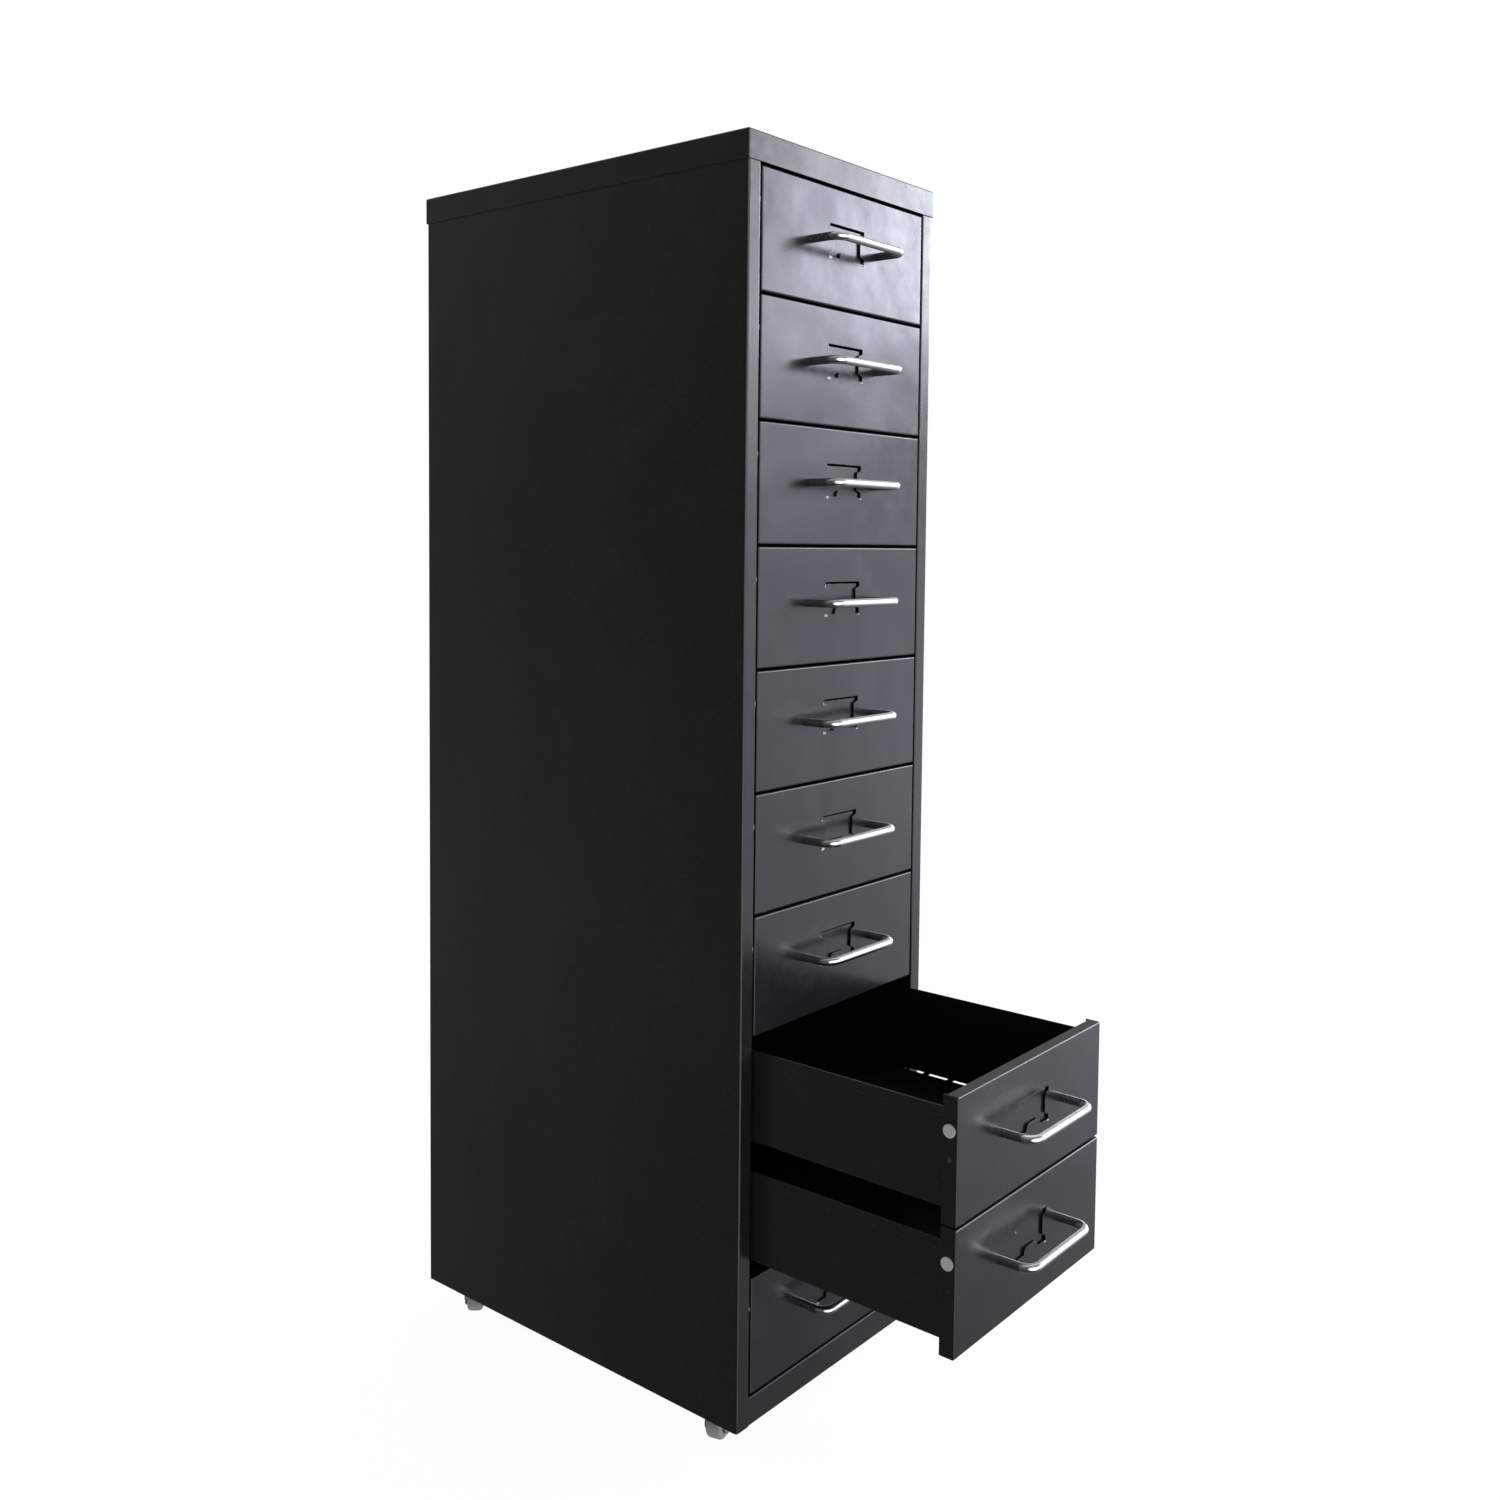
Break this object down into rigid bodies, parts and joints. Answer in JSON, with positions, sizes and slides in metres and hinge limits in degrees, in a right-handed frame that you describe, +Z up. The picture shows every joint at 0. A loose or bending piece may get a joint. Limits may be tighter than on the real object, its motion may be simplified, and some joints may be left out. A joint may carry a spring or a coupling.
{
  "type": "tall chest of drawers",
  "caption": "Tall narrow sheet-steel chest of drawers on small swivel casters, black powder coat, with bent-wire handles and stamped label holders.",
  "frame": {"origin": "on the floor under the middle of the cabinet", "axes": "+Z up, drawer fronts face -Y, +X to the right of a person facing the fronts"},
  "size_m": [0.268, 0.6287, 1.0855],
  "materials": {
    "carcass_powder_coat": "satin black powder coat",
    "drawer_powder_coat": "satin black powder coat",
    "chromed_wire": "polished chrome plate",
    "zinc_plated_steel": "bright zinc plate",
    "grey_plug_plastic": "matt moulded grey plastic",
    "grey_wheel_plastic": "moulded grey plastic"
  },
  "bodies": {
    "cabinet": {"left_side_panel": "carcass_powder_coat", "right_side_panel": "carcass_powder_coat", "back_panel": "carcass_powder_coat", "top_cap": "carcass_powder_coat", "base_pan": "carcass_powder_coat", "left_drawer_runners": "carcass_powder_coat", "right_drawer_runners": "carcass_powder_coat", "back_panel_screws": "zinc_plated_steel", "caster_channels": "carcass_powder_coat", "caster_plates": "zinc_plated_steel", "caster_rivets": "zinc_plated_steel"},
    "drawer_01": {"drawer_01_front": "drawer_powder_coat", "drawer_01_tray": "drawer_powder_coat", "drawer_01_handle": "chromed_wire", "drawer_01_plugs": "grey_plug_plastic"},
    "drawer_02": {"drawer_02_front": "drawer_powder_coat", "drawer_02_tray": "drawer_powder_coat", "drawer_02_handle": "chromed_wire", "drawer_02_plugs": "grey_plug_plastic"},
    "drawer_03": {"drawer_03_front": "drawer_powder_coat", "drawer_03_tray": "drawer_powder_coat", "drawer_03_handle": "chromed_wire", "drawer_03_plugs": "grey_plug_plastic"},
    "drawer_04": {"drawer_04_front": "drawer_powder_coat", "drawer_04_tray": "drawer_powder_coat", "drawer_04_handle": "chromed_wire", "drawer_04_plugs": "grey_plug_plastic"},
    "drawer_05": {"drawer_05_front": "drawer_powder_coat", "drawer_05_tray": "drawer_powder_coat", "drawer_05_handle": "chromed_wire", "drawer_05_plugs": "grey_plug_plastic"},
    "drawer_06": {"drawer_06_front": "drawer_powder_coat", "drawer_06_tray": "drawer_powder_coat", "drawer_06_handle": "chromed_wire", "drawer_06_plugs": "grey_plug_plastic"},
    "drawer_07": {"drawer_07_front": "drawer_powder_coat", "drawer_07_tray": "drawer_powder_coat", "drawer_07_handle": "chromed_wire", "drawer_07_plugs": "grey_plug_plastic"},
    "drawer_08": {"drawer_08_front": "drawer_powder_coat", "drawer_08_tray": "drawer_powder_coat", "drawer_08_handle": "chromed_wire", "drawer_08_plugs": "grey_plug_plastic"},
    "drawer_09": {"drawer_09_front": "drawer_powder_coat", "drawer_09_tray": "drawer_powder_coat", "drawer_09_handle": "chromed_wire", "drawer_09_plugs": "grey_plug_plastic"},
    "drawer_10": {"drawer_10_front": "drawer_powder_coat", "drawer_10_tray": "drawer_powder_coat", "drawer_10_handle": "chromed_wire", "drawer_10_plugs": "grey_plug_plastic"},
    "front_left_caster": {"front_left_caster_fork": "zinc_plated_steel"},
    "front_left_wheel": {"front_left_caster_wheel": "grey_wheel_plastic"},
    "front_right_caster": {"front_right_caster_fork": "zinc_plated_steel"},
    "front_right_wheel": {"front_right_caster_wheel": "grey_wheel_plastic"},
    "rear_left_caster": {"rear_left_caster_fork": "zinc_plated_steel"},
    "rear_left_wheel": {"rear_left_caster_wheel": "grey_wheel_plastic"},
    "rear_right_caster": {"rear_right_caster_fork": "zinc_plated_steel"},
    "rear_right_wheel": {"rear_right_caster_wheel": "grey_wheel_plastic"}
  },
  "joints": [
    {"name": "drawer_01_slide", "type": "slide", "parent": "cabinet", "child": "drawer_01", "axis": [0, -1, 0], "range_m": [0, 0.29]},
    {"name": "drawer_02_slide", "type": "slide", "parent": "cabinet", "child": "drawer_02", "axis": [0, -1, 0], "range_m": [0, 0.29]},
    {"name": "drawer_03_slide", "type": "slide", "parent": "cabinet", "child": "drawer_03", "axis": [0, -1, 0], "range_m": [0, 0.29]},
    {"name": "drawer_04_slide", "type": "slide", "parent": "cabinet", "child": "drawer_04", "axis": [0, -1, 0], "range_m": [0, 0.29]},
    {"name": "drawer_05_slide", "type": "slide", "parent": "cabinet", "child": "drawer_05", "axis": [0, -1, 0], "range_m": [0, 0.29]},
    {"name": "drawer_06_slide", "type": "slide", "parent": "cabinet", "child": "drawer_06", "axis": [0, -1, 0], "range_m": [0, 0.29]},
    {"name": "drawer_07_slide", "type": "slide", "parent": "cabinet", "child": "drawer_07", "axis": [0, -1, 0], "range_m": [0, 0.29]},
    {"name": "drawer_08_slide", "type": "slide", "parent": "cabinet", "child": "drawer_08", "axis": [0, -1, 0], "range_m": [-0.195, 0.095]},
    {"name": "drawer_09_slide", "type": "slide", "parent": "cabinet", "child": "drawer_09", "axis": [0, -1, 0], "range_m": [-0.195, 0.095]},
    {"name": "drawer_10_slide", "type": "slide", "parent": "cabinet", "child": "drawer_10", "axis": [0, -1, 0], "range_m": [0, 0.29]},
    {"name": "front_left_swivel", "type": "hinge", "parent": "cabinet", "child": "front_left_caster", "pos_m": [-0.105, -0.161, 0.033], "axis": [0, 0, 1], "continuous": true},
    {"name": "front_left_wheel_spin", "type": "hinge", "parent": "front_left_caster", "child": "front_left_wheel", "pos_m": [-0.11273, -0.16307, 0.0125], "axis": [0.2588, -0.9659, 0], "continuous": true},
    {"name": "front_right_swivel", "type": "hinge", "parent": "cabinet", "child": "front_right_caster", "pos_m": [0.105, -0.161, 0.033], "axis": [0, 0, 1], "continuous": true},
    {"name": "front_right_wheel_spin", "type": "hinge", "parent": "front_right_caster", "child": "front_right_wheel", "pos_m": [0.09794, -0.15724, 0.0125], "axis": [-0.4695, -0.8829, 0], "continuous": true},
    {"name": "rear_left_swivel", "type": "hinge", "parent": "cabinet", "child": "rear_left_caster", "pos_m": [-0.105, 0.161, 0.033], "axis": [0, 0, 1], "continuous": true},
    {"name": "rear_left_wheel_spin", "type": "hinge", "parent": "rear_left_caster", "child": "rear_left_wheel", "pos_m": [-0.11095, 0.15565, 0.0125], "axis": [0.6691, -0.7431, 0], "continuous": true},
    {"name": "rear_right_swivel", "type": "hinge", "parent": "cabinet", "child": "rear_right_caster", "pos_m": [0.105, 0.161, 0.033], "axis": [0, 0, 1], "continuous": true},
    {"name": "rear_right_wheel_spin", "type": "hinge", "parent": "rear_right_caster", "child": "rear_right_wheel", "pos_m": [0.112, 0.15712, 0.0125], "axis": [0.4848, 0.8746, 0], "continuous": true}
  ]
}
